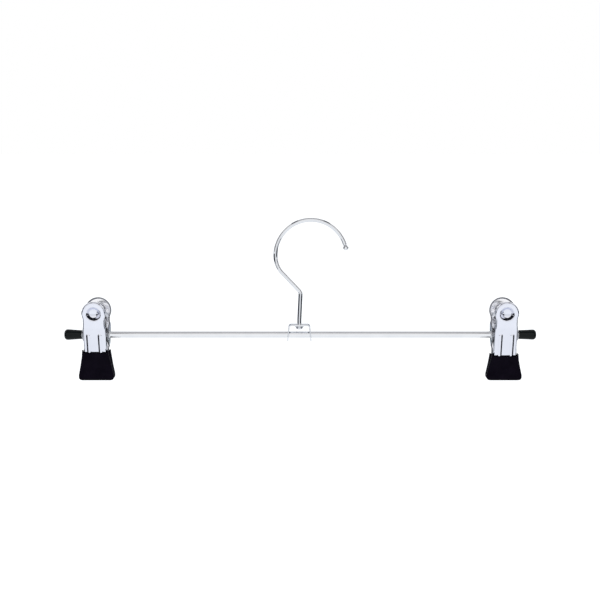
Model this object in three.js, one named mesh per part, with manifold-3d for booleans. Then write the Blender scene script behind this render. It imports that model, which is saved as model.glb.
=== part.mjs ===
import * as THREE from 'three';
import { mergeVertices } from 'three/addons/utils/BufferGeometryUtils.js';
import Module from 'manifold-3d';

// Clip hanger in millimetres, +Z up, +X along the rod. The front faces -Y.
// Pieces are drawn about the middle of the rod. The whole is then moved so that its origin is
// the seat at the inner top of the hook's loop, where the hanger rests on a rail.

// Clearances
const fitGap = 0.3; // between pieces that touch on the real hanger
const overrun = 2; // how far a cutting tool runs past the face that it cuts
const weldSink = 0.3; // how far two joined solids of one piece reach into each other

// Straight rod, which carries the clips and sits a little to the right of the hook
const rodRadius = 2.45;
const rodLength = 356.4;
const rodShift = 0.7;

// Push-on end caps: the neck is next to the clip and the bulb is the outer end
const capGrip = 11.2;
const capEndWall = 1.7;
const capNeckWall = 0.7;
const capBulbWalls = { left: 1.35, right: 1.15 };
const capNeckLengthShare = 0.25;
const capEndRadius = 2.4;

// Hook wire, its upset head and its washer
const wireRadius = 1.6;
const washerRim = 1.3;
const washerThickness = 0.7;
const headRim = 0.8;
const headHeight = 1.4;
const headClearance = 1.75; // between the head and the rod

// Hook loop, measured on the wire's centreline from the middle of the rod
const loopRadius = 26.9;
const loopOffset = 8.8;
const loopHeight = 61.0;
const lowerArcRadius = 18.6;
const tipAngle = THREE.MathUtils.degToRad(16.9);
const lowerArcStart = THREE.MathUtils.degToRad(185);
const lowerArcEnd = THREE.MathUtils.degToRad(223.5);
const shankStraight = 12.0;
const shankLean = THREE.MathUtils.degToRad(2.7);
const shankBendRadius = 5.0;

// Ball on the hook's free end, pressed over a reduced spigot
const ballRadius = 2.15;
const spigotRadius = 0.8;
const spigotLength = 2.0;

// Inverted-U bracket that the rod passes through
const bracketSheet = 1.0;
const bracketInnerHalfWidth = 7.4;
const bracketDepth = 8.4;
const bracketBendRadius = 1.3;
const bracketLegRim = 2.55;
const bracketSplay = THREE.MathUtils.degToRad(5);

// Stamped jaw plates: depths are measured from the clip's middle plane to the sheet's middle
const plateSheet = 0.9;
const tabRadii = { front: 9.0, rear: 10.1 };
const tabTop = 26.9;
const tabLean = THREE.MathUtils.degToRad(7);
const waistInsets = { front: 0.9, rear: 1.2 };
const waistDepth = 12.2;
const shoulderHeight = 7.0;
const shoulderRise = 1.3;
const flareHeight = -13.0;
const jawFlare = 1.6;
const jawDrop = 33.2;
const jawCorner = 1.5;
const jawBendHeight = -24.0;
const jawBendStep = 0.4;

// Turned-in rim of each plate, from the sheet's middle to the rim's edge
const rimDepth = 2.0;

// Thumb dish in each tab: a shallow bowl inside a steep wall
const dishRadius = 5.7;
const dishDepth = 2.75;
const bowlRadius = 3.6;
const bowlDepth = 0.6;

// Raised stiffening ribs on each plate
const ribSpacing = 8.8;
const ribWidth = 3.6;
const ribHeight = 0.8;
const ribTop = 2.6;
const ribTuck = 1.5; // how far a rib reaches into the boot

// Ears that carry the plates on the pivot tube
const earRim = 1.7;
const earFoot = -10.0;

// Pivot tube, flared at both ends
const tubeWall = 0.45;
const tubeFlare = 0.4;
const tubeFlareRim = 1.0;

// Torsion spring round the pivot tube
const springWireRadius = 0.6;
const springClearance = 0.4;
const springPitch = 1.7;
const springCurls = 6;
const springSideClearance = 1.64;
const earInset = 0.3; // from the body's side to the front plate's ears
const springLegAngle = THREE.MathUtils.degToRad(215);
const springStepsPerCurl = 8;
const springSides = 5;

// Rubber boots on the jaws
const bootHeights = { left: 21.7, right: 18.9 };
const bootTipWall = 1.3;
const bootOuterWall = 1.6;
const bootInnerWall = 1.2;
const bootTopSideWall = 0.7;
const bootTipSideWall = 2.7;
const bootCorner = 2.4;
const bootBend = 4.0; // height of the side walls' last, upright stretch
const bootShoulders = { front: 2.4, rear: 0.4 }; // rise of the side walls above the lip
const gripThickness = 1.95;
const gripGap = 0.4;
const gripHeight = 11.5;

// Facets
const roundSegments = 24;
const hookSides = 10;
const hookSteps = 90;
const cornerSegments = 5;
const dishRings = 5;
const ribSegments = 6;

// Values that follow from the sizes above
const sides = { left: -1, right: 1 };
const boreRadius = rodRadius + fitGap;
const tubeRadius = boreRadius + tubeWall;
const earBore = tubeRadius + fitGap;
const earRadius = earBore + earRim;
const springRadius = tubeRadius + springClearance + springWireRadius;
const springTurn = springCurls * 2 * Math.PI + (3 * Math.PI - 2 * springLegAngle);
const springHalfLength = springPitch * springTurn / (4 * Math.PI) + springWireRadius;
const frontEarFace = springHalfLength + springSideClearance + plateSheet;
const earFaces = { front: frontEarFace, rear: frontEarFace + fitGap + plateSheet };
const bodyHalfWidth = frontEarFace + earInset;
const jawHalfWidth = bodyHalfWidth + jawFlare;
const tubeHalfLength = earFaces.rear + fitGap + tubeFlare;
const clipPlace = rodLength / 2 - capGrip - fitGap - tubeHalfLength;
const jawTipDepth = gripGap / 2 + gripThickness + fitGap + plateSheet / 2;
const jawBendDepth = jawTipDepth + jawBendStep;
const bodySlope = (waistDepth - jawBendDepth) / (shoulderHeight - jawBendHeight);
const tabSlope = Math.tan(tabLean);
const swivelBore = wireRadius + fitGap;
const bracketUnderside = rodRadius + headClearance + headHeight + washerThickness + 2 * fitGap;
const bracketTop = bracketUnderside + bracketSheet;
const headFoot = rodRadius + headClearance;
const bootFoot = -(jawDrop + fitGap + bootTipWall);
const seatHeight = loopHeight + loopRadius - wireRadius;

const wasm = await Module();
wasm.setup();

// Closed solid from a geometry: shared corners are merged and slivers on an axis are dropped
function solidOf(geometry) {
  const bare = geometry.clone();
  bare.deleteAttribute('normal');
  bare.deleteAttribute('uv');
  const merged = mergeVertices(bare);
  const corners = merged.index.array;
  const triangles = [];
  for (let i = 0; i < corners.length; i += 3) {
    const [a, b, c] = corners.slice(i, i + 3);
    if (a !== b && b !== c && c !== a) triangles.push(a, b, c);
  }
  return new wasm.Manifold(new wasm.Mesh({
    numProp: 3,
    vertProperties: new Float32Array(merged.attributes.position.array),
    triVerts: new Uint32Array(triangles),
  }));
}

function geometryOf(solid) {
  const mesh = solid.getMesh();
  const geometry = new THREE.BufferGeometry();
  geometry.setAttribute('position', new THREE.BufferAttribute(mesh.vertProperties, 3));
  geometry.setIndex(new THREE.BufferAttribute(mesh.triVerts, 1));
  geometry.computeVertexNormals();
  return geometry;
}

function piece(name, solid, look) {
  const mesh = new THREE.Mesh(geometryOf(solid), new THREE.MeshStandardMaterial(look));
  mesh.name = name;
  return mesh;
}

// Points of an arc about a centre, both ends included
function arc(centreX, centreY, radius, from, to, steps) {
  return Array.from({ length: steps + 1 }, (_, i) => {
    const angle = from + (to - from) * i / steps;
    return new THREE.Vector2(
      centreX + radius * Math.cos(angle),
      centreY + radius * Math.sin(angle),
    );
  });
}

// Outline in X and Z, carried along Y between two depths
function extrudeAlongY(points, fromY, toY) {
  const geometry = new THREE.ExtrudeGeometry(
    new THREE.Shape(points),
    { depth: toY - fromY, bevelEnabled: false },
  );
  geometry.rotateX(Math.PI / 2);
  geometry.translate(0, toY, 0);
  return solidOf(geometry);
}

// Outline in Y and Z, carried along X between two places
function extrudeAlongX(points, fromX, toX) {
  const geometry = new THREE.ExtrudeGeometry(
    new THREE.Shape(points),
    { depth: toX - fromX, bevelEnabled: false },
  );
  geometry.applyMatrix4(new THREE.Matrix4().set(0, 0, 1, 0, 1, 0, 0, 0, 0, 1, 0, 0, 0, 0, 0, 1));
  geometry.translate(fromX, 0, 0);
  return solidOf(geometry);
}

// Profile of radius and height, turned about Z
function turnAboutZ(profile) {
  const points = profile.map(([radius, height]) => new THREE.Vector2(radius, height));
  const geometry = new THREE.LatheGeometry(points, roundSegments);
  geometry.rotateX(Math.PI / 2);
  return solidOf(geometry);
}

// Profile of radius and place, turned about X
function turnAboutX(profile) {
  return turnAboutZ(profile).rotate([0, 90, 0]);
}

// Rod

function rodSolid() {
  const end = rodLength / 2;
  return turnAboutX([[0, -end], [rodRadius, -end], [rodRadius, end], [0, end]]);
}

// End cap: a blind sleeve from its open neck to a rounded bulb, drawn on the +X side
function capSolid(bulbWall) {
  const mouth = rodLength / 2 - capGrip;
  const boreEnd = rodLength / 2 + fitGap;
  const outerEnd = boreEnd + capEndWall;
  const neckRadius = boreRadius + capNeckWall;
  const bulbRadius = boreRadius + bulbWall;
  const neckEnd = mouth + (outerEnd - mouth) * capNeckLengthShare;
  const round = arc(
    bulbRadius - capEndRadius, outerEnd - capEndRadius, capEndRadius, 0, Math.PI / 2, cornerSegments,
  );
  return turnAboutX([
    [0, boreEnd], [boreRadius, boreEnd], [boreRadius, mouth], [neckRadius, mouth],
    [neckRadius, neckEnd], ...round.map((point) => [point.x, point.y]), [0, outerEnd],
  ]);
}

// Bracket: a folded strip with splayed, round-ended legs

function bracketOutline() {
  const outerBend = bracketBendRadius + bracketSheet;
  const bendX = bracketInnerHalfWidth - bracketBendRadius;
  const bendZ = bracketUnderside - bracketBendRadius;
  const legFoot = -(boreRadius + bracketLegRim + overrun);
  const along = new THREE.Vector2(Math.sin(bracketSplay), -Math.cos(bracketSplay));
  const legLength = (bendZ - legFoot) / Math.cos(bracketSplay);
  const outer = arc(bendX, bendZ, outerBend, bracketSplay, Math.PI / 2, cornerSegments);
  const inner = arc(bendX, bendZ, bracketBendRadius, Math.PI / 2, bracketSplay, cornerSegments);
  const right = [
    ...inner,
    inner[cornerSegments].clone().addScaledVector(along, legLength),
    outer[0].clone().addScaledVector(along, legLength),
    ...outer,
  ];
  const left = right.map((point) => new THREE.Vector2(-point.x, point.y)).reverse();
  return [...right, ...left];
}

function bracketSolid() {
  const half = bracketDepth / 2;
  const reach = bracketInnerHalfWidth + bracketTop + bracketLegRim;
  const legBottom = boreRadius + bracketLegRim;
  const side = [
    new THREE.Vector2(half, bracketTop + overrun),
    new THREE.Vector2(-half, bracketTop + overrun),
    ...arc(0, half - legBottom, half, Math.PI, 2 * Math.PI, roundSegments / 2),
  ];
  const rodHole = turnAboutX([[0, -reach], [boreRadius, -reach], [boreRadius, reach], [0, reach]]);
  const shankHole = turnAboutZ([
    [0, bracketUnderside - overrun], [swivelBore, bracketUnderside - overrun],
    [swivelBore, bracketTop + overrun], [0, bracketTop + overrun],
  ]);
  return extrudeAlongY(bracketOutline(), -half, half)
    .intersect(extrudeAlongX(side, -reach, reach))
    .subtract(rodHole)
    .subtract(shankHole);
}

// Hook

class ArcCurve extends THREE.Curve {
  constructor(centre, radius, from, to) {
    super();
    Object.assign(this, { centre, radius, from, to });
  }

  getPoint(share, target = new THREE.Vector3()) {
    const angle = this.from + (this.to - this.from) * share;
    return target.set(
      this.centre.x + this.radius * Math.cos(angle), 0, this.centre.y + this.radius * Math.sin(angle),
    );
  }
}

// Where the leaning shank would meet the slanted run that leads to the loop
function shankCorner(start, up, slantEnd, slant) {
  const gap = slantEnd.clone().sub(start);
  const along = gap.cross(slant) / up.cross(slant);
  return start.clone().addScaledVector(up, along);
}

function hookCurve() {
  const loopCentre = new THREE.Vector2(loopOffset, loopHeight);
  const joinDirection = new THREE.Vector2(Math.cos(lowerArcStart), Math.sin(lowerArcStart));
  const lowerCentre = loopCentre.clone().addScaledVector(joinDirection, loopRadius - lowerArcRadius);
  const slantEnd = lowerCentre.clone().add(
    new THREE.Vector2(Math.cos(lowerArcEnd), Math.sin(lowerArcEnd)).multiplyScalar(lowerArcRadius),
  );
  const slant = new THREE.Vector2(Math.sin(lowerArcEnd), -Math.cos(lowerArcEnd));
  const start = new THREE.Vector2(0, shankStraight);
  const up = new THREE.Vector2(Math.sin(shankLean), Math.cos(shankLean));
  const corner = shankCorner(start, up, slantEnd, slant);
  const turn = Math.acos(up.dot(slant));
  const tangent = shankBendRadius * Math.tan(turn / 2);
  const bendStart = corner.clone().addScaledVector(up, -tangent);
  const bendEnd = corner.clone().addScaledVector(slant, tangent);
  const bendCentre = bendStart.clone()
    .addScaledVector(new THREE.Vector2(-up.y, up.x), shankBendRadius);
  const to3d = (point) => new THREE.Vector3(point.x, 0, point.y);
  const path = new THREE.CurvePath();
  path.add(new THREE.LineCurve3(to3d(new THREE.Vector2(0, headFoot)), to3d(start)));
  path.add(new THREE.LineCurve3(to3d(start), to3d(bendStart)));
  path.add(new ArcCurve(bendCentre, shankBendRadius, -shankLean, turn - shankLean));
  path.add(new THREE.LineCurve3(to3d(bendEnd), to3d(slantEnd)));
  path.add(new ArcCurve(lowerCentre, lowerArcRadius, lowerArcEnd, lowerArcStart));
  path.add(new ArcCurve(loopCentre, loopRadius, lowerArcStart, tipAngle));
  return path;
}

// The ball's middle, and the turn about Y that lays Z along the wire's way out at its tip
function tipPlace() {
  const onward = new THREE.Vector3(Math.sin(tipAngle), 0, -Math.cos(tipAngle));
  const tip = new THREE.Vector3(
    loopOffset + loopRadius * Math.cos(tipAngle), 0, loopHeight + loopRadius * Math.sin(tipAngle),
  );
  return {
    centre: tip.clone().addScaledVector(onward, ballRadius),
    turn: THREE.MathUtils.radToDeg(Math.atan2(onward.x, onward.z)),
  };
}

function placeAtTip(solid) {
  const { centre, turn } = tipPlace();
  return solid.rotate([0, turn, 0]).translate([centre.x, centre.y, centre.z]);
}

function hookSolid() {
  const round = arc(0, 0, wireRadius, Math.PI / 2, 2.5 * Math.PI, hookSides);
  const section = new THREE.Shape(round.slice(0, hookSides));
  const wire = solidOf(new THREE.ExtrudeGeometry(
    section,
    { steps: hookSteps, extrudePath: hookCurve(), bevelEnabled: false },
  ));
  const headRadius = swivelBore + headRim;
  const head = turnAboutZ([
    [0, headFoot], [headRadius - headRim, headFoot], [headRadius, headFoot + headHeight / 2],
    [headRadius, headFoot + headHeight], [0, headFoot + headHeight],
  ]);
  const spigot = placeAtTip(turnAboutZ([
    [0, -ballRadius - weldSink], [spigotRadius, -ballRadius - weldSink],
    [spigotRadius, spigotLength - ballRadius], [0, spigotLength - ballRadius],
  ]));
  return wire.add(head).add(spigot);
}

function ballSolid() {
  const ball = turnAboutZ([
    [0, -ballRadius],
    ...arc(0, 0, ballRadius, -Math.PI / 2, Math.PI / 2, roundSegments / 2)
      .slice(1, -1).map((point) => [point.x, point.y]),
    [0, ballRadius],
  ]);
  const hole = turnAboutZ([
    [0, -ballRadius - overrun], [spigotRadius + fitGap, -ballRadius - overrun],
    [spigotRadius + fitGap, spigotLength - ballRadius + fitGap],
    [0, spigotLength - ballRadius + fitGap],
  ]);
  return placeAtTip(ball.subtract(hole));
}

function washerSolid() {
  const foot = headFoot + headHeight + fitGap;
  const rim = swivelBore + washerRim;
  return turnAboutZ([
    [swivelBore, foot], [rim, foot], [rim, foot + washerThickness],
    [swivelBore, foot + washerThickness], [swivelBore, foot],
  ]);
}

// Clip plates, drawn as the front one of a clip that hangs about the rod

// Depth of the sheet's middle from the clip's middle plane
function plateDepth(height) {
  if (height > shoulderHeight) return waistDepth + tabSlope * (height - shoulderHeight);
  if (height > jawBendHeight) return waistDepth + bodySlope * (height - shoulderHeight);
  const share = (height - jawBendHeight) / (-jawDrop - jawBendHeight);
  return jawBendDepth + (jawTipDepth - jawBendDepth) * share;
}

// Side outline between two offsets from the sheet's middle, at the given falling heights
function sideBand(heights, innerOffset, outerOffset) {
  const outside = heights.map((z) => new THREE.Vector2(-plateDepth(z) - outerOffset, z));
  const inside = heights.map((z) => new THREE.Vector2(-plateDepth(z) + innerOffset, z));
  return [...outside, ...inside.reverse()];
}

// Half-width of a plate's flared jaw below the flare's start
function jawHalfWidthAt(height) {
  return bodyHalfWidth + jawFlare * Math.max(0, (height - flareHeight) / (-jawDrop - flareHeight));
}

function mirrored(right) {
  const left = right.filter((point) => point.x > 0).map((point) => new THREE.Vector2(-point.x, point.y));
  return [...right, ...left.reverse()];
}

// Edge of the ear stretch. The rear plate's ears lie outside the front plate's.
function earStretch(plate) {
  const notchFoot = earFoot - shoulderRise;
  return [
    new THREE.Vector2(jawHalfWidthAt(notchFoot), notchFoot),
    new THREE.Vector2(earFaces[plate], earFoot),
    new THREE.Vector2(earFaces[plate], shoulderHeight),
  ];
}

// Front outline: jaw with rounded corners, ear stretch, waist and round tab
function plateOutline(plate) {
  const tabRadius = tabRadii[plate];
  const neck = tabRadius - waistInsets[plate];
  const tabArc = arc(
    0, tabTop - tabRadius, tabRadius, -Math.acos(neck / tabRadius), Math.PI / 2, roundSegments / 2,
  );
  tabArc.at(-1).x = 0;
  return mirrored([
    ...arc(
      jawHalfWidth - jawCorner, jawCorner - jawDrop, jawCorner, -Math.PI / 2, 0, cornerSegments,
    ),
    ...earStretch(plate),
    new THREE.Vector2(neck, shoulderHeight + shoulderRise),
    ...tabArc,
  ]);
}

// Side outline of an ear: a round nose about the rod, drawn out to the sheet by two tangents
function earOutline() {
  const shoulder = new THREE.Vector2(-plateDepth(shoulderHeight), shoulderHeight);
  const foot = new THREE.Vector2(-plateDepth(earFoot), earFoot);
  const upper = shoulder.angle() - Math.acos(earRadius / shoulder.length());
  const lower = foot.angle() + Math.acos(earRadius / foot.length()) - 2 * Math.PI;
  return [shoulder, ...arc(0, 0, earRadius, upper, lower, roundSegments / 2), foot];
}

// Walls along the inside of an outline, as thick as the sheet: the rim and the ears are cut from them
function wallsInside(outline, deep) {
  const section = new wasm.CrossSection([outline.map((point) => [point.x, point.y])], 'EvenOdd');
  return section.subtract(section.offset(-plateSheet, 'Miter'))
    .extrude(2 * deep).rotate([90, 0, 0]).translate([0, deep, 0]);
}

// Rib with a domed section and a round top. grow widens it for the pocket that clears it.
function ribSolid(place, foot, grow) {
  const halfWidth = ribWidth / 2 + grow;
  const height = ribHeight + grow;
  const top = ribTop - halfWidth;
  const section = arc(0, 0, 1, 0, Math.PI, ribSegments).map(
    (point) => new THREE.Vector2(place + halfWidth * point.x, height * point.y),
  );
  section.push(
    new THREE.Vector2(place - halfWidth, -weldSink), new THREE.Vector2(place + halfWidth, -weldSink),
  );
  const bar = new THREE.ExtrudeGeometry(
    new THREE.Shape(section), { depth: top - foot, bevelEnabled: false },
  );
  bar.translate(0, 0, foot);
  const end = new THREE.SphereGeometry(1, 2 * ribSegments, ribSegments);
  end.rotateX(Math.PI / 2);
  end.scale(halfWidth, height, halfWidth);
  end.translate(place, 0, top);
  const ontoSheet = new THREE.Matrix4().set(
    -1, 0, 0, 0,
    0, -1, -bodySlope, bodySlope * shoulderHeight - waistDepth - plateSheet / 2,
    0, 0, 1, 0,
    0, 0, 0, 1,
  );
  return solidOf(bar.applyMatrix4(ontoSheet)).add(solidOf(end.applyMatrix4(ontoSheet)));
}

function ribPair(foot, grow) {
  return ribSolid(ribSpacing / 2, foot, grow).add(ribSolid(-ribSpacing / 2, foot, grow));
}

// Lens on the tab: heights of its profile are measured outward from the sheet's middle
function lensOnTab(plate, faceHeight, closeHeight) {
  const tabHeight = tabTop - tabRadii[plate];
  const ballRound = (bowlRadius ** 2 + bowlDepth ** 2) / (2 * bowlDepth);
  const halfAngle = Math.asin(bowlRadius / ballRound);
  const bowl = arc(
    0, faceHeight + ballRound - dishDepth, ballRound, -Math.PI / 2, halfAngle - Math.PI / 2, dishRings,
  );
  bowl[0].x = 0;
  const profile = [
    ...bowl, new THREE.Vector2(dishRadius, faceHeight),
    new THREE.Vector2(dishRadius, closeHeight), new THREE.Vector2(0, closeHeight),
  ];
  const lens = new THREE.LatheGeometry(profile, roundSegments);
  lens.applyMatrix4(new THREE.Matrix4().set(
    1, 0, 0, 0,
    0, -1, tabSlope, -plateDepth(tabHeight),
    0, 0, -1, tabHeight,
    0, 0, 0, 1,
  ));
  return solidOf(lens);
}

function plateSolid(plate, bootTop) {
  const halfSheet = plateSheet / 2;
  const deep = waistDepth + tabTop;
  const reach = jawHalfWidth + overrun;
  const outline = plateOutline(plate);
  const sheet = sideBand(
    [tabTop + overrun, shoulderHeight, jawBendHeight, -jawDrop - overrun], halfSheet, halfSheet,
  );
  const rim = sideBand([tabTop + overrun, shoulderHeight, bootTop + fitGap], rimDepth, 0);
  const walls = extrudeAlongX(rim, -reach, reach).add(extrudeAlongX(earOutline(), -reach, reach));
  const bore = turnAboutX([[0, -reach], [earBore, -reach], [earBore, reach], [0, reach]]);
  return extrudeAlongY(outline, -deep, deep)
    .intersect(extrudeAlongX(sheet, -reach, reach))
    .add(wallsInside(outline, deep).intersect(walls).subtract(bore))
    .add(ribPair(bootTop - ribTuck, 0))
    .add(lensOnTab(plate, -halfSheet, 0))
    .subtract(lensOnTab(plate, halfSheet, halfSheet + overrun));
}

// Rubber boot over a jaw, drawn for the front plate

function bootSolid(height, shoulder) {
  const top = bootFoot + height;
  const crest = top + shoulder;
  const tipHalfWidth = jawHalfWidth + fitGap + bootTipSideWall;
  const topHalfWidth = jawHalfWidthAt(top) + fitGap + bootTopSideWall;
  const crestHalfWidth = jawHalfWidthAt(crest) + fitGap + bootTopSideWall;
  const outline = mirrored([
    ...arc(
      tipHalfWidth - bootCorner, bootFoot + bootCorner, bootCorner, -Math.PI / 2, 0, cornerSegments,
    ),
    new THREE.Vector2(tipHalfWidth, bootFoot + bootBend),
    new THREE.Vector2(topHalfWidth, top),
    new THREE.Vector2(crestHalfWidth, crest),
  ]);
  const outerOffset = plateSheet / 2 + fitGap + bootOuterWall;
  const innerOffset = plateSheet / 2 + fitGap + bootInnerWall;
  const section = [
    new THREE.Vector2(-plateDepth(crest) - outerOffset, crest),
    new THREE.Vector2(-plateDepth(jawBendHeight) - outerOffset, jawBendHeight),
    new THREE.Vector2(-jawTipDepth - outerOffset, bootFoot),
    new THREE.Vector2(-gripGap / 2, bootFoot),
    new THREE.Vector2(-gripGap / 2, bootFoot + gripHeight),
    new THREE.Vector2(innerOffset - plateDepth(crest), crest),
  ];
  const deep = waistDepth + outerOffset;
  const scoop = mirrored([
    new THREE.Vector2(jawHalfWidthAt(top) + fitGap, top),
    new THREE.Vector2(jawHalfWidthAt(crest + overrun) + fitGap, crest + overrun),
  ]);
  return extrudeAlongY(outline, -deep, deep)
    .intersect(extrudeAlongX(section, -tipHalfWidth - overrun, tipHalfWidth + overrun))
    .subtract(bootPocket(top))
    .subtract(extrudeAlongY(scoop, -deep, deep));
}

// Room for the jaw and its ribs inside a boot
function bootPocket(top) {
  const mouth = top + overrun;
  const foot = -jawDrop - fitGap;
  const gap = plateSheet / 2 + fitGap;
  const outline = mirrored([
    new THREE.Vector2(jawHalfWidth + fitGap, foot),
    new THREE.Vector2(jawHalfWidthAt(mouth) + fitGap, mouth),
  ]);
  const deep = waistDepth + gap;
  return extrudeAlongY(outline, -deep, deep)
    .intersect(extrudeAlongX(
      sideBand([mouth + overrun, jawBendHeight, foot - overrun], gap, gap),
      -jawHalfWidth - overrun, jawHalfWidth + overrun,
    ))
    .add(ribPair(top - ribTuck - fitGap, fitGap));
}

// Pivot tube

function pivotTubeSolid() {
  const flareRadius = tubeRadius + tubeFlareRim;
  const neck = tubeHalfLength - tubeFlare;
  return turnAboutX([
    [boreRadius, -tubeHalfLength], [flareRadius, -tubeHalfLength], [flareRadius, -neck],
    [tubeRadius, -neck], [tubeRadius, neck], [flareRadius, neck],
    [flareRadius, tubeHalfLength], [boreRadius, tubeHalfLength], [boreRadius, -tubeHalfLength],
  ]);
}

// Torsion spring: a leg, the curls about X and the other leg, as one line of points

// Length of a leg that stops just short of the tab's inner face
function springLegLength() {
  const outward = -Math.sin(springLegAngle);
  const upward = -Math.cos(springLegAngle);
  const startDepth = -springRadius * Math.cos(springLegAngle);
  const startHeight = springRadius * Math.sin(springLegAngle);
  const faceDepth = plateDepth(shoulderHeight) - plateSheet / 2
    + tabSlope * (startHeight - shoulderHeight);
  const standOff = (springWireRadius + fitGap) / Math.cos(tabLean);
  return (faceDepth - standOff - startDepth) / (outward - tabSlope * upward);
}

function springPoints() {
  const steps = Math.round(springStepsPerCurl * springTurn / (2 * Math.PI));
  const curls = Array.from({ length: steps + 1 }, (_, i) => {
    const angle = springLegAngle + springTurn * i / steps;
    return new THREE.Vector3(
      springPitch * springTurn / (2 * Math.PI) * (i / steps - 1 / 2),
      springRadius * Math.cos(angle),
      springRadius * Math.sin(angle),
    );
  });
  const leg = springLegLength();
  const sideways = leg * Math.sin(springLegAngle);
  const upward = -leg * Math.cos(springLegAngle);
  return [
    curls[0].clone().add(new THREE.Vector3(0, sideways, upward)),
    ...curls,
    curls[steps].clone().add(new THREE.Vector3(0, -sideways, upward)),
  ];
}

// Round tube along a line of points, closed by a fan at each end
function tubeAlong(points, radius, corners) {
  const directions = points.map((_, i) => {
    const before = points[Math.max(i - 1, 0)];
    const after = points[Math.min(i + 1, points.length - 1)];
    return after.clone().sub(before).normalize();
  });
  const positions = [];
  const triangles = [];
  const across = new THREE.Vector3(1, 0, 0);
  points.forEach((point, ring) => {
    across.addScaledVector(directions[ring], -across.dot(directions[ring])).normalize();
    const other = directions[ring].clone().cross(across);
    for (let corner = 0; corner < corners; corner += 1) {
      const angle = 2 * Math.PI * corner / corners;
      const place = point.clone()
        .addScaledVector(across, radius * Math.cos(angle))
        .addScaledVector(other, radius * Math.sin(angle));
      positions.push(place.x, place.y, place.z);
    }
  });
  for (let ring = 0; ring + 1 < points.length; ring += 1) {
    for (let corner = 0; corner < corners; corner += 1) {
      const next = (corner + 1) % corners;
      const [a, b] = [ring * corners + corner, ring * corners + next];
      triangles.push(a, b, b + corners, a, b + corners, a + corners);
    }
  }
  const last = (points.length - 1) * corners;
  for (let corner = 1; corner + 1 < corners; corner += 1) {
    triangles.push(0, corner + 1, corner, last, last + corner, last + corner + 1);
  }
  const geometry = new THREE.BufferGeometry();
  geometry.setAttribute('position', new THREE.Float32BufferAttribute(positions, 3));
  geometry.setIndex(triangles);
  return geometry;
}

// Least gap between a tube's surface and itself, on points at least half a curl apart
function leastGap(points, radius, apart) {
  let least = Infinity;
  points.forEach((point, i) => {
    for (const other of points.slice(i + apart)) least = Math.min(least, point.distanceTo(other));
  });
  return least - 2 * radius;
}

function springSolid() {
  return solidOf(tubeAlong(springPoints(), springWireRadius, springSides));
}

console.log(
  'spring: least gap to itself, mm',
  leastGap(springPoints(), springWireRadius, springStepsPerCurl / 2).toFixed(2),
);

// Looks

const chrome = { color: 0xd9dbe2, roughness: 0.08, metalness: 1 };
const plateChrome = { color: 0xdcdee8, roughness: 0.12, metalness: 1 };
const springSteel = { color: 0x9a9ca2, roughness: 0.28, metalness: 1 };
const rubber = { color: 0x0b0a0c, roughness: 0.72, metalness: 0 };
const vinyl = { color: 0x0a0d0e, roughness: 0.38, metalness: 0 };

// Assembly

function makeFrame() {
  const frame = new THREE.Group();
  const rod = piece('rod', rodSolid(), chrome);
  rod.position.x = rodShift;
  frame.add(rod, piece('bracket', bracketSolid(), chrome));
  for (const [side, sign] of Object.entries(sides)) {
    const cap = piece(`${side}_end_cap`, capSolid(capBulbWalls[side]), vinyl);
    cap.rotation.z = sign < 0 ? Math.PI : 0;
    cap.position.x = rodShift;
    frame.add(cap);
  }
  return frame;
}

function makeHook() {
  const hook = new THREE.Group();
  hook.add(
    piece('hook', hookSolid(), chrome),
    piece('hook_tip_ball', ballSolid(), chrome),
    piece('hook_washer', washerSolid(), chrome),
  );
  return hook;
}

function makeClip(side) {
  const clip = new THREE.Group();
  const bootHeight = bootHeights[side];
  const bootTop = bootFoot + bootHeight;
  const rear = new THREE.Group();
  rear.rotation.z = Math.PI;
  rear.add(
    piece(`${side}_rear_plate`, plateSolid('rear', bootTop), plateChrome),
    piece(`${side}_rear_boot`, bootSolid(bootHeight, bootShoulders.rear), rubber),
  );
  clip.add(
    piece(`${side}_pivot_tube`, pivotTubeSolid(), chrome),
    piece(`${side}_spring`, springSolid(), springSteel),
    piece(`${side}_front_plate`, plateSolid('front', bootTop), plateChrome),
    piece(`${side}_front_boot`, bootSolid(bootHeight, bootShoulders.front), rubber),
    rear,
  );
  clip.position.x = rodShift + sides[side] * clipPlace;
  return clip;
}

const hanger = new THREE.Group();
hanger.add(makeFrame(), makeHook(), makeClip('left'), makeClip('right'));
hanger.position.set(-loopOffset, 0, -seatHeight);

export default hanger;
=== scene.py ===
"""Clip hanger: a bright rod under a swivel hook, with two sliding spring clips in rubber boots."""
import math

import bpy
import numpy as np
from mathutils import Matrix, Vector


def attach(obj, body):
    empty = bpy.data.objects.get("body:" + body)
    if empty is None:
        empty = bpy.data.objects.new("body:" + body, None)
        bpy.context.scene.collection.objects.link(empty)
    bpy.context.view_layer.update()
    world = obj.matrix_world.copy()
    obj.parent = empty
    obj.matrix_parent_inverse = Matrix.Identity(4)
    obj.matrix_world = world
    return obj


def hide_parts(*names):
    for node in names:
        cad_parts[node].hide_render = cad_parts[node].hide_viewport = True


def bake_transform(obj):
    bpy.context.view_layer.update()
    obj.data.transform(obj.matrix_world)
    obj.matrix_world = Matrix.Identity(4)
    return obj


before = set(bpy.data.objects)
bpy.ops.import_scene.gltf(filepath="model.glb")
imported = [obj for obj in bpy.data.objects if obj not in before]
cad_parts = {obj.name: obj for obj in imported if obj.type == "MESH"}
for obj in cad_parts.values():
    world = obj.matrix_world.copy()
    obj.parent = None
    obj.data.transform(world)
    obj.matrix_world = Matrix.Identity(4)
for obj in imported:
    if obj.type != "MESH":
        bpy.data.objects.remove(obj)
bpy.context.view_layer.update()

# Lengths are in millimetres about the rod's middle, until make_piece moves them to the frame.
MILLIMETRE = 0.001
ROD_MIDDLE = np.array([-8.1, 0.0, -86.3])
SWIVEL = (-0.7, 0.0, 0.0)
FIT_GAP = 0.3

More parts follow.
